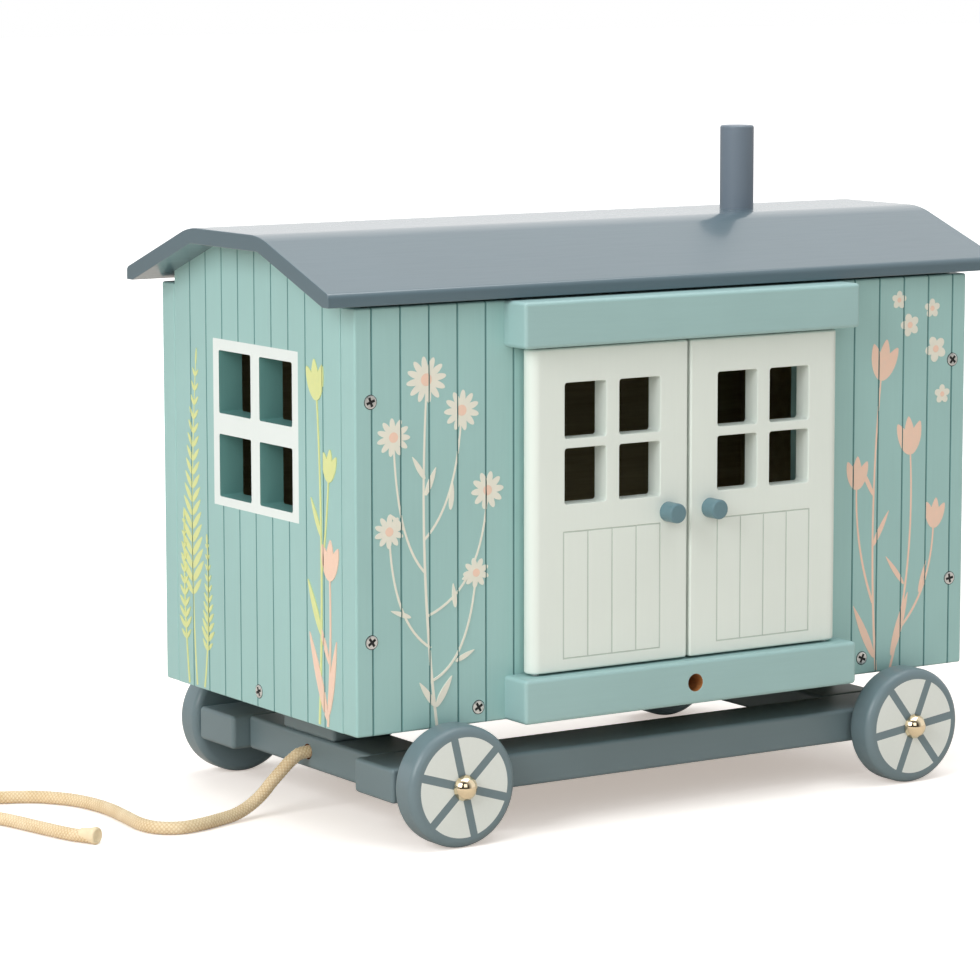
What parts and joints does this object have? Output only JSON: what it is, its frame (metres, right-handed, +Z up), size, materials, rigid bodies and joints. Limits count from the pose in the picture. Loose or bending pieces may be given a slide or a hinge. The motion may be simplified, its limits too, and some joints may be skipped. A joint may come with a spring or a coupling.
{
  "type": "toy shepherds hut",
  "caption": "Painted wooden pull-along toy shepherd's hut with opening double doors, a three-facet roof, a chimney, spoked-pattern wheels on a ladder chassis and a pull cord.",
  "frame": {"origin": "on the floor, under the middle of the hut's box", "axes": "+X along the hut away from the pull cord, +Y from the doors to the back wall, +Z up"},
  "size_m": [0.3993, 0.183, 0.2538],
  "materials": {
    "teal_paint": "satin paint",
    "slate_paint": "satin paint",
    "roof_paint": "satin paint",
    "cream_paint": "satin paint",
    "knob_paint": "satin paint",
    "bare_wood": "sanded",
    "pin_steel": "plain",
    "axle_brass": "polished",
    "cord_cotton": "braided"
  },
  "bodies": {
    "hut": {"front_wall_left": "teal_paint", "front_wall_right": "teal_paint", "front_wall_header": "teal_paint", "front_wall_threshold": "teal_paint", "back_wall": "teal_paint", "left_gable": "teal_paint", "right_gable": "teal_paint", "lintel_rail": "teal_paint", "sill_rail": "teal_paint", "floor": "bare_wood", "roof": "roof_paint", "chimney": "slate_paint", "front_rail": "slate_paint", "back_rail": "slate_paint", "left_cross_member": "slate_paint", "right_cross_member": "slate_paint", "left_bolster": "slate_paint", "right_bolster": "slate_paint", "front_left_axle": "axle_brass", "back_left_axle": "axle_brass", "front_right_axle": "axle_brass", "back_right_axle": "axle_brass", "pull_cord": "cord_cotton", "cord_knot": "cord_cotton", "cord_tip": "cord_cotton"},
    "left_door": {"left_door": "cream_paint", "left_knob": "knob_paint", "left_door_pins": "pin_steel"},
    "right_door": {"right_door": "cream_paint", "right_knob": "knob_paint", "right_door_pins": "pin_steel"},
    "front_left_wheel": {"front_left_wheel": "slate_paint"},
    "back_left_wheel": {"back_left_wheel": "slate_paint"},
    "front_right_wheel": {"front_right_wheel": "slate_paint"},
    "back_right_wheel": {"back_right_wheel": "slate_paint"}
  },
  "joints": [
    {"name": "left_door_hinge", "type": "hinge", "parent": "hut", "child": "left_door", "pos_m": [-0.0665, -0.077, 0.1193], "axis": [0, 0, -1], "range_deg": [0, 160]},
    {"name": "right_door_hinge", "type": "hinge", "parent": "hut", "child": "right_door", "pos_m": [0.0665, -0.077, 0.1193], "axis": [0, 0, 1], "range_deg": [0, 160]},
    {"name": "front_left_wheel_spin", "type": "hinge", "parent": "hut", "child": "front_left_wheel", "pos_m": [-0.104, -0.081, 0.0225], "axis": [0, 1, 0], "continuous": true},
    {"name": "back_left_wheel_spin", "type": "hinge", "parent": "hut", "child": "back_left_wheel", "pos_m": [-0.104, 0.081, 0.0225], "axis": [0, 1, 0], "continuous": true},
    {"name": "front_right_wheel_spin", "type": "hinge", "parent": "hut", "child": "front_right_wheel", "pos_m": [0.104, -0.081, 0.0225], "axis": [0, 1, 0], "continuous": true},
    {"name": "back_right_wheel_spin", "type": "hinge", "parent": "hut", "child": "back_right_wheel", "pos_m": [0.104, 0.081, 0.0225], "axis": [0, 1, 0], "continuous": true}
  ]
}
